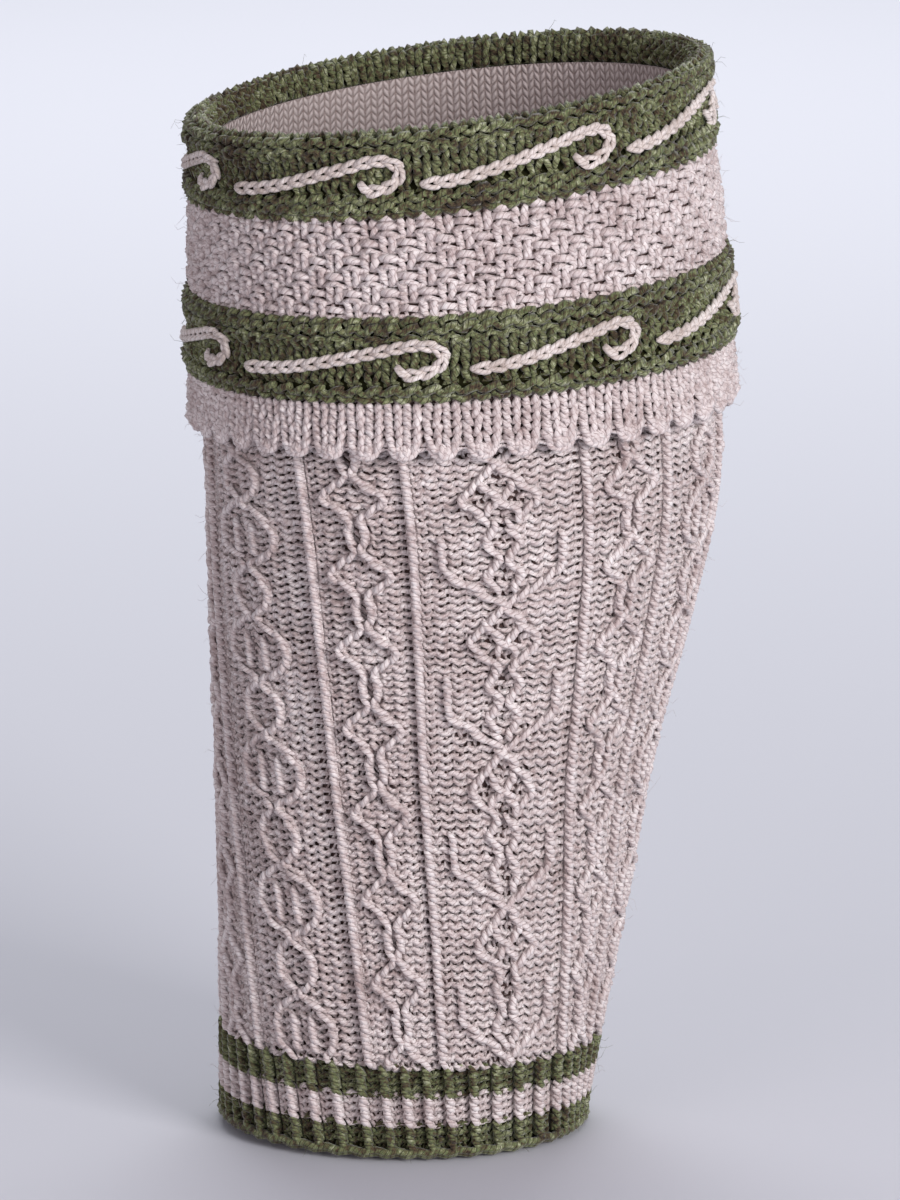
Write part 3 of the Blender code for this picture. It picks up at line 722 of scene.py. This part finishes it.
# The gap colours are painted shade, as for the natural cloth; the inside is the green wool's own colour,
# with painted shade in its grooves.
GREEN_CLOTH = (
    stitched_cloth("green_wool_in_the_gaps_painted_shade", "#24240F", "#18180C", 0.15),
    stitched_cloth("inside_of_the_green_knit", "#5F6A38", "#2A2F16", 0.7))
HEM_BOTTOM = 250.4
# One row a stripe: name, top, bottom, courses, wool and material slot.
HEM_STRIPES = (
    ("upper", HEM_TOP, 236.85, 4, GREEN_WOOL, "green_wool"),
    ("middle", 236.85, 244.25, 4, NATURAL_WOOL, "natural_wool"),
    ("lower", 244.25, HEM_BOTTOM, 3, GREEN_WOOL, "green_wool"),
)
HEM_BACKING = 0.4
FURROW_OUT = 0.5
HEM_YARN_RADIUS = 0.62
HEM_RIB_RADIUS = 0.88
HEM_FORM = (0.35, 0.5, 0.2, 0.04)
HEM_FIBRES = 110
HEM_YARN_FACE = 2.4
# The bind-off's strands, as (up from the hem's bottom, out), and how far each stitch sways them.
EDGE_RADIUS = 0.95
EDGE_STRANDS = ((-0.1, 2.6), (-0.9, 1.7))
EDGE_SWAY = 0.25
rib_kinds = np.where(np.arange(LEG_STITCHES) % 2 == 0, COVERED, PURL)
rib_places = 180.0 + np.arange(LEG_STITCHES) * 360.0 / LEG_STITCHES
rib_widths = np.full(LEG_STITCHES, 360.0 / LEG_STITCHES)
rib_lines = [(place, 1.0, RIB_DEPTHS, np.zeros(2), np.ones(2)) for place in rib_places[::2]]


def on_hem(place, below, lift):
    """Places loops on the hem."""
    return surface(leg_angle(place, below), below, FURROW_OUT + lift)


def hem_stripe(below):
    """Which pair of materials the hem's cloth has at a depth: 0 for green, 1 for natural."""
    _, top, bottom, *_ = HEM_STRIPES[1]
    return 1 if top < below < bottom else 0


def bound_off_strand(up, out):
    """One strand of the bind-off, swaying once for every two stitches."""
    places = np.arange(0.0, 360.0, 180.0 / LEG_STITCHES)
    wave = np.sin(np.radians(places * LEG_STITCHES / 2.0))
    below = HEM_BOTTOM - up + EDGE_SWAY * wave
    points = surface(leg_angle(places, HEM_BOTTOM), below, out + EDGE_SWAY * wave)
    return points, 1.0, 0.0, True


hem_depths = [HEM_BOTTOM]
for _, top, bottom, *_ in HEM_STRIPES:
    hem_depths += [top, (top + bottom) / 2.0]
hem_depths.sort()
hem_cloth = sleeve(
    "hem_cloth", [(d, HEM_BACKING) for d in hem_depths], [(d, 0.0) for d in hem_depths[::-1]],
    LEG_STITCHES, leg_angle, LEG_STITCHES, COURSE_HEIGHT, (*GREEN_CLOTH, *NATURAL_CLOTH), hem_stripe)
hem_pieces = []
for name, top, bottom, courses, yarn, slot_name in HEM_STRIPES:
    step = (bottom - top) / courses
    depths = top + (np.arange(courses) + 0.5) * step
    furrows = [course(rib_places, rib_widths, rib_kinds, rib_kinds, depth, step, HEM_FORM, on_hem)
               for depth in depths]
    ribs = [strand for line in rib_lines for strand in travelling_stitches(line, depths)]
    pieces = [
        spin(f"hem_furrows_{name}", furrows, HEM_YARN_RADIUS, yarn),
        spin(f"hem_twisted_ribs_{name}", ribs, HEM_RIB_RADIUS, yarn),
        loose_fibres(f"hem_loose_fibres_{name}", HEM_FIBRES, (top, bottom), lambda _: HEM_YARN_FACE, yarn),
    ]
    if name == "lower":
        strands = [bound_off_strand(up, out) for up, out in EDGE_STRANDS]
        pieces.append(spin("hem_bound_off_edge", strands, EDGE_RADIUS, yarn, sides=6))
    for piece in pieces:
        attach(piece, "root")
    hem_pieces += pieces
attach(hem_cloth, "root")
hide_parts("hem_stripe_upper", "hem_stripe_middle", "hem_stripe_lower")


# The cuff's upper border: green wool, with a purl ridge along each edge and three plain courses
# between them. It starts inside the leg's top edge, turns over it and hangs down outside.
CUFF_STITCHES = 88
CUFF_OUT_TOP = 4.6
CUFF_FLARE = 0.026
CUFF_WALL = 2.0
RIDGE_RISE = 1.3
# One row a point across a border: share of its depth, and of the ridges' rise.
RIDGE_SHAPE = (
    (0.0, 0.25), (0.08, 0.85), (0.17, 1.0), (0.27, 0.75), (0.36, 0.05),
    (0.64, 0.05), (0.72, 0.7), (0.83, 1.0), (0.93, 0.8), (1.0, 0.3),
)
UPPER_BORDER_SPAN = (0.0, 19.6)
LOWER_BORDER_SPAN = (43.6, 63.1)
# Both faces of the fold as (below, out): the outer one from inside the tube to over its top edge, and
# the inner one from the cuff's back round that edge.
FOLD_INSIDE = ((6.5, 0.0), (2.6, 0.0), (0.9, 0.6), (-0.2, 2.0), (-0.3, 3.4))
FOLD_BACK = ((6.5, 2.5), (2.4, 2.15), (6.5, 1.8))
BORDER_COURSE = 2.45
BORDER_YARN_RADIUS = 0.84
BORDER_FORM = (1.15, 1.0, 0.55, 0.04)
RIDGE_SHARE = 0.27
CUFF_YARN_RADIUS = 0.80
CUFF_YARN_IN = 1.2
CUFF_BACKING_IN = 1.4
CUFF_FORM = (1.0, 0.75, -0.16, -0.06)
CUFF_FIBRES = 420
BORDER_FIBRES_OUT = 0.3
LINE_SAMPLES = 12
CLOTH_SAMPLES = 6


def cuff_out(below):
    """The cuff's outer face, which flares downwards."""
    return CUFF_OUT_TOP + CUFF_FLARE * below


def ridge_line(span):
    """Outer face of a border as (below, out): ridge, recess, ridge."""
    depths = [span[0] + (span[1] - span[0]) * share for share, _ in RIDGE_SHAPE]
    return [(d, cuff_out(d) + rise * RIDGE_RISE) for d, (_, rise) in zip(depths, RIDGE_SHAPE)]


def line_lengths(points):
    """The distance along a line at each of its points."""
    return np.concatenate([[0.0], np.cumsum(np.linalg.norm(np.diff(points, axis=0), axis=1))])


def read_both(at, places, values):
    """Both columns of a line's values, read at distances along it."""
    return np.stack([np.interp(at, places, values[:, k]) for k in (0, 1)], axis=-1)


def along_line(line):
    """Places of a line of (below, out) by the distance along it, and how it faces there."""
    points = np.array(line, float)
    lengths = line_lengths(points)
    fine = np.linspace(0.0, lengths[-1], LINE_SAMPLES * len(line))
    smooth = read_both(fine, lengths, points)
    heading = np.gradient(smooth, fine, axis=0)
    facing = np.stack([-heading[:, 1], heading[:, 0]], axis=1)
    facing /= np.linalg.norm(facing, axis=1)[:, None]
    return fine, smooth, facing


def cuff_angle(place, _):
    """The cuff's stitches run straight down, so each place in it keeps its angle."""
    return place


def on_cuff(line, inset, sway=None):
    """Places loops on a band of the cuff, inset from its outer face."""
    fine, smooth, facing = along_line(line)

    def at(place, down, lift):
        """Points of loops at a distance down the band."""
        away = (lift - inset)[..., None] * read_both(down, fine, facing)
        below, out = np.moveaxis(read_both(down, fine, smooth) + away, -1, 0)
        if sway is not None:
            place, below, out = sway(place, below, out)
        return surface(place, below, out)

    return at


def inset_line(line, inset):
    """A line of (below, out) moved in from its face."""
    fine, smooth, facing = along_line(line)
    lengths = np.linspace(0.0, fine[-1], len(line) + CLOTH_SAMPLES)
    return read_both(lengths, fine, smooth - inset * facing)


def cuff_back(top, bottom, wall=CUFF_WALL):
    """The inner face of a band of the cuff, from its bottom up."""
    return [(below, cuff_out(below) - wall) for below in (bottom, top)]


def cuff_cloth(name, line, back, materials):
    """The cloth behind a band's loops, from the band's outer face and its inner one."""
    return sleeve(name, inset_line(line, CUFF_BACKING_IN), back, 2 * CUFF_STITCHES, cuff_angle,
                  CUFF_STITCHES, BORDER_COURSE, materials)


cuff_places = 180.0 + (np.arange(CUFF_STITCHES) + 0.5) * 360.0 / CUFF_STITCHES
cuff_widths = np.full(CUFF_STITCHES, 360.0 / CUFF_STITCHES)


def knit_band(name, line, kind_at, wool, courses=None, sway=None, form=CUFF_FORM, radius=CUFF_YARN_RADIUS):
    """The courses of one band of the cuff, from its top to its bottom. kind_at: the kind of a course's
    stitches, by its number and its share of the way down."""
    total = along_line(line)[0][-1]
    courses = courses or round(total / BORDER_COURSE)
    step = total / courses
    at = on_cuff(line, CUFF_YARN_IN, sway)
    kinds = [np.broadcast_to(kind_at(number, (number + 0.5) / courses), CUFF_STITCHES)
             for number in range(courses)]
    rows = [course(cuff_places, cuff_widths, own, above, (number + 0.5) * step, step, form, at)
            for number, (own, above) in enumerate(zip(kinds, [kinds[0], *kinds]))]
    return spin(name, rows, radius, wool)


upper_outside = ridge_line(UPPER_BORDER_SPAN)
upper_line = [*FOLD_INSIDE, *upper_outside]
fold_share = along_line(FOLD_INSIDE)[0][-1] / along_line(upper_line)[0][-1]


def border_kinds(_, share, start=0.0):
    """Purl ridges along both edges of a border, plain stitches between them and over the fold."""
    share = (share - start) / (1.0 - start)
    ridge = 0.0 < share < RIDGE_SHARE or share > 1.0 - RIDGE_SHARE
    return PURL if ridge else KNIT


def border_face(below):
    """Where a border's hairs start, between its recess and its ridges' crests."""
    return cuff_out(below) + BORDER_FIBRES_OUT


upper_knit = knit_band("border_upper_stitches", upper_line,
                       lambda number, share: border_kinds(number, share, fold_share), GREEN_WOOL,
                       form=BORDER_FORM, radius=BORDER_YARN_RADIUS)
upper_back = [cuff_back(*UPPER_BORDER_SPAN)[0], *FOLD_BACK]
upper_cloth = cuff_cloth("border_upper_cloth", upper_line, upper_back, GREEN_CLOTH)
upper_fibres = loose_fibres("border_upper_loose_fibres", CUFF_FIBRES, UPPER_BORDER_SPAN,
                            border_face, GREEN_WOOL)
for piece in (upper_cloth, upper_knit, upper_fibres):
    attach(piece, "root")
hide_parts("cuff_border_upper")


# The cuff's middle: a band of double moss stitch in the natural wool, knitted on from the border.
# Every two courses the knit and purl stitches change places, which makes short bars and holes.
MOSS_SPAN = (19.9, 43.3)
MOSS_CROWN = 0.35
MOSS_YARN_RADIUS = 0.88
MOSS_COURSES = 12
moss_middle = sum(MOSS_SPAN) / 2.0
moss_line = [(below, cuff_out(below) + crown) for below, crown in (
    (MOSS_SPAN[0], 0.0), (moss_middle, MOSS_CROWN), (MOSS_SPAN[1], 0.0))]


def moss_kinds(number, _):
    """Knit and purl stitches by turns, changing places every two courses."""
    return np.where((number // 2 + np.arange(CUFF_STITCHES)) % 2 == 0, PURL, KNIT)


moss_knit = knit_band("moss_band_stitches", moss_line, moss_kinds, NATURAL_WOOL,
                      courses=MOSS_COURSES, radius=MOSS_YARN_RADIUS)
moss_cloth = cuff_cloth("moss_band_cloth", moss_line, cuff_back(*MOSS_SPAN), NATURAL_CLOTH)
moss_fibres = loose_fibres("moss_band_loose_fibres", CUFF_FIBRES, MOSS_SPAN, cuff_out, NATURAL_WOOL)
for piece in (moss_cloth, moss_knit, moss_fibres):
    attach(piece, "root")
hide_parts("cuff_moss_band")


# The cuff's lower border: the same green ridges and recess as the upper one, knitted on from the
# moss stitch band.
lower_outside = ridge_line(LOWER_BORDER_SPAN)
lower_knit = knit_band("border_lower_stitches", lower_outside, border_kinds, GREEN_WOOL,
                       form=BORDER_FORM, radius=BORDER_YARN_RADIUS)
lower_cloth = cuff_cloth("border_lower_cloth", lower_outside, cuff_back(*LOWER_BORDER_SPAN), GREEN_CLOTH)
lower_fibres = loose_fibres("border_lower_loose_fibres", CUFF_FIBRES, LOWER_BORDER_SPAN,
                            border_face, GREEN_WOOL)
for piece in (lower_cloth, lower_knit, lower_fibres):
    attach(piece, "root")
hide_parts("cuff_border_lower")


# The frill: the cuff's edge, which was cast on first. Six plain courses in the natural wool end in 44
# small scallops, each of two stitches drawn together at the tip, with a hole between it and the next.
FRILL_TOP = 63.4
FRILL_NOTCH = 74.8
FRILL_TIP = 77.6
FRILL_LIFT = 0.35
FRILL_WALL = 1.8
FRILL_COURSES = 6
FRILL_FIBRES = 320
SCALLOPS = 44
SCALLOP_ANGLE = 360.0 / SCALLOPS
SCALLOP_DRAW = 0.9
SCALLOP_OUT = 0.5
SCALLOP_POWER = 3
SCALLOP_LIMIT = 1.2
frill_line = [(FRILL_TOP, cuff_out(FRILL_TOP)), (FRILL_NOTCH, cuff_out(FRILL_NOTCH) + FRILL_LIFT)]


def scallop_sway(place, below, out):
    """The last courses follow the scallops and draw together at their tips."""
    share = np.clip((below - FRILL_TOP) / (FRILL_NOTCH - FRILL_TOP), 0.0, SCALLOP_LIMIT) ** SCALLOP_POWER
    turn = math.radians(1.0) * (place - 180.0) * SCALLOPS
    wave = 0.5 - 0.5 * np.cos(turn)
    drawn_in = SCALLOP_DRAW * share * np.sin(turn)
    below = below + share * (FRILL_TIP - FRILL_NOTCH) * wave
    return place + drawn_in, below, out + SCALLOP_OUT * share * wave


frill_knit = knit_band("frill_stitches", frill_line, lambda *_: KNIT, NATURAL_WOOL,
                       courses=FRILL_COURSES, sway=scallop_sway)
# Each tip is two strands bent into a U, one within the other, and a thin one bridges each hole.
# One row a strand: its half width in scallops, how far it rises, its tip above the scallop's, out.
TIP_STRANDS = ((0.36, 3.6, 0.5, 0.0), (0.17, 2.6, 1.5, 0.25))
TIP_REACH = np.linspace(-1.0, 1.0, 9)
TIP_TAPER = np.array([0.5, 0.9, 1.05, 1.1, 1.1, 1.1, 1.05, 0.9, 0.5])
TIP_POINTED = 1.3
TIP_IN = 0.55
TIP_ENDS_IN = 0.5
TIP_TONE = 0.5
BRIDGE_REACH = np.linspace(-1.0, 1.0, 4)
BRIDGE_HALF = 0.2
BRIDGE_ABOVE = 0.7
BRIDGE_ENDS_UP = 0.4
BRIDGE_IN = 1.3
BRIDGE_THICKNESS = 0.7
# The bridges' tone is lowered: painted shade, as they lie back in the dark holes between the scallops.
BRIDGE_PAINTED_SHADE = -1.0
tips = []
for scallop in range(SCALLOPS):
    middle = 180.0 + (scallop + 0.5) * SCALLOP_ANGLE
    for half, rise, short, forward in TIP_STRANDS:
        bend = TIP_REACH * math.pi / 2.0
        place = middle + half * np.sin(bend) * SCALLOP_ANGLE
        below = FRILL_TIP - short - rise * (1.0 - np.cos(bend)) ** TIP_POINTED
        out = cuff_out(FRILL_TIP) - TIP_IN + forward - TIP_ENDS_IN * TIP_REACH ** 4
        tips.append((surface(place, below, out), TIP_TAPER, knitter.normal(TIP_TONE), False))
    place = middle + (0.5 + BRIDGE_HALF * BRIDGE_REACH) * SCALLOP_ANGLE
    below = FRILL_NOTCH - BRIDGE_ABOVE - BRIDGE_ENDS_UP * BRIDGE_REACH ** 2
    bridge = surface(place, below, cuff_out(FRILL_NOTCH) - BRIDGE_IN)
    tips.append((bridge, BRIDGE_THICKNESS, BRIDGE_PAINTED_SHADE, False))
frill_edge = spin("frill_cast_on_tips", tips, CUFF_YARN_RADIUS, NATURAL_WOOL, sides=5)
frill_back = cuff_back(FRILL_TOP, FRILL_NOTCH, FRILL_WALL)
frill_cloth = cuff_cloth("frill_cloth", frill_line, frill_back, NATURAL_CLOTH)
frill_fibres = loose_fibres("frill_loose_fibres", FRILL_FIBRES, (FRILL_TOP, FRILL_TIP),
                            cuff_out, NATURAL_WOOL)
for piece in (frill_cloth, frill_knit, frill_edge, frill_fibres):
    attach(piece, "root")
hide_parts("cuff_frill")


# The crochet chains: sixteen short chains of the natural wool, each bent into a hook and sewn flat
# on a border. A link is a pair of teardrop strands that slip out of the link before it.
# One row a pair of hooks, the upper border's and the lower's: where each starts and how far it
# reaches, in degrees round the cuff.
HOOKS = (
    ((-98.5, 38.5), (-96.0, 40.0)),
    ((-53.0, 43.0), (-50.0, 47.5)),
    ((-6.5, 43.5), (2.0, 37.0)),
    ((41.0, 42.0), (44.5, 42.0)),
    ((88.0, 40.0), (90.5, 39.0)),
    ((132.5, 39.5), (134.0, 40.5)),
    ((176.5, 41.0), (178.0, 39.5)),
    ((221.0, 37.5), (221.5, 39.0)),
)
# The hook's line, as shares of its reach and of the border's depth.
HOOK_PATH = np.array([
    (0.0, 0.63), (0.16, 0.62), (0.34, 0.56), (0.52, 0.47), (0.70, 0.38), (0.85, 0.31),
    (0.94, 0.34), (0.985, 0.45), (0.965, 0.57), (0.90, 0.65), (0.82, 0.66), (0.78, 0.57),
])
LINK_LENGTH = 3.5
CHAIN_RADIUS = 0.58
CHAIN_LIFT = 0.9
CHAIN_CLEAR = 0.35
CHAIN_CLOSE = 2.5
CHAIN_NARROWEST = 0.3
CHAIN_FACE = 6.0
CHAIN_SAMPLES = 200
CHAIN_WOOL = heathered_wool("pale_crochet_wool", (
    (0.0, "#A99A92"), (0.3, "#C8BCB6"), (0.6, "#DAD0CC"), (1.0, "#EFE9E6")), "#AA9B94", 0.25)
# One side of a link: share of its length, distance from the chain's middle, rise, thickness.
LINK_SIDE = np.array([(-0.12, 0.06, -0.30, 0.6), (0.15, 0.26, 0.25, 1.0), (0.50, 0.60, 0.50, 1.2),
                      (0.85, 0.92, 0.35, 1.2), (1.15, 1.00, -0.05, 1.0), (1.35, 0.80, -0.50, 0.6)])


def crochet_chain(start, width, span):
    """The strands of one hook, laid on a border."""
    across = degree_width(start, span[0], CHAIN_FACE)
    fine = np.linspace(0.0, len(HOOK_PATH) - 1.0, CHAIN_SAMPLES)
    smooth = np.stack([smooth_value(HOOK_PATH[:, k], fine) for k in (0, 1)], axis=1)
    flat = smooth * np.array([width * across, span[1] - span[0]])
    lengths = line_lengths(flat)
    heading = np.gradient(flat, lengths, axis=0)
    heading /= np.linalg.norm(heading, axis=1)[:, None]
    links = round(lengths[-1] / LINK_LENGTH)
    step = lengths[-1] / links
    border = np.array(ridge_line(span))
    strands = []
    for link in range(links):
        for side in (-1.0, 1.0):
            down_chain = np.clip((link + LINK_SIDE[:, 0]) * step, 0.0, lengths[-1])
            along = read_both(down_chain, lengths, heading)
            beside = np.stack([-along[:, 1], along[:, 0]], axis=1)
            closing = np.clip((lengths[-1] - down_chain) / CHAIN_CLOSE, CHAIN_NARROWEST, 1.0)
            spot = read_both(down_chain, lengths, flat)
            spot += side * (LINK_SIDE[:, 1] * closing)[:, None] * beside
            below = span[0] + spot[:, 1]
            face = np.interp(below, border[:, 0], border[:, 1])
            out = face + np.maximum(CHAIN_LIFT + LINK_SIDE[:, 2], CHAIN_CLEAR)
            points = surface(start + spot[:, 0] / across, below, out)
            strands.append((points, LINK_SIDE[:, 3], knitter.normal(), False))
    return strands


for number, (upper_hook, lower_hook) in enumerate(HOOKS, 1):
    for place, hook, span in (
            ("upper", upper_hook, UPPER_BORDER_SPAN), ("lower", lower_hook, LOWER_BORDER_SPAN)):
        strands = crochet_chain(*hook, span)
        chain = spin(f"crochet_hook_{place}_{number}", strands, CHAIN_RADIUS, CHAIN_WOOL, sides=5)
        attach(chain, "root")
        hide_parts(f"hook_{place}_{number}")


# The stage: a plain pale floor, two soft lamps on the piece and one on the floor behind it, and a
# camera that looks down on the front by 12 degrees.
FLOOR_SIZE = 12.0
FLOOR_CORNERS = ((-0.5, -0.5), (0.5, -0.5), (0.5, 0.5), (-0.5, 0.5))
floor_height = min(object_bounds()[0][2], cad_bounds[0][2])
floor_mesh = bpy.data.meshes.new("floor")
floor_mesh.from_pydata(
    [(FLOOR_SIZE * x, FLOOR_SIZE * y, floor_height) for x, y in FLOOR_CORNERS], [], [(0, 1, 2, 3)])
paper, *_ = add_material("matt_pale_paper", {
    "Base Color": linear("#C8C9D1"), "Roughness": 0.9, "Specular IOR Level": 0.1})
floor_mesh.materials.append(paper)
floor = add_object("floor", floor_mesh)

world = bpy.data.worlds.new("soft_room")
world.use_nodes = True
backdrop = world.node_tree.nodes["Background"]
backdrop.inputs["Color"].default_value = linear("#E6E5F1")
backdrop.inputs["Strength"].default_value = 0.38
bpy.context.scene.world = world

# One row a lamp: name, place, what it faces, its side in metres, its watts and its colour.
LIGHTS = (
    ("key_right", (1.15, -1.45, 0.45), (0.0, 0.0, -0.12), 0.8, 31.0, "#FFFBFA"),
    ("fill_left", (-1.2, -1.5, 0.2), (0.0, 0.0, -0.12), 1.0, 7.5, "#FFF1F0"),
    ("top_back", (0.0, 1.75, 1.4), (0.0, 1.35, -0.25), 1.7, 40.5, "#FDFFFF"),
)
for name, place, target, size, power, colour in LIGHTS:
    lamp = bpy.data.lights.new(name, "AREA")
    lamp.size = size
    lamp.energy = power
    lamp.color = linear(colour)[:3]
    holder = add_object(name, lamp)
    holder.location = place
    aim = np.array(target) - np.array(place)
    tilt = math.acos(-aim[2] / np.linalg.norm(aim))
    holder.rotation_euler = (tilt, 0.0, math.atan2(aim[1], aim[0]) - math.pi / 2.0)

CAMERA_PLACE = (0.0, -1.85, 0.26823)
CAMERA_TILT = math.radians(78.0)
FILM_HEIGHT = 24.0
FOCAL_LENGTH = 158.0
camera_data = bpy.data.cameras.new("camera")
camera_data.sensor_fit = "VERTICAL"
camera_data.sensor_height = FILM_HEIGHT
camera_data.lens = FOCAL_LENGTH
camera = add_object("camera", camera_data)
camera.location = CAMERA_PLACE
camera.rotation_euler = (CAMERA_TILT, 0.0, 0.0)
bpy.context.scene.camera = camera
bpy.context.scene.view_settings.view_transform = "Standard"
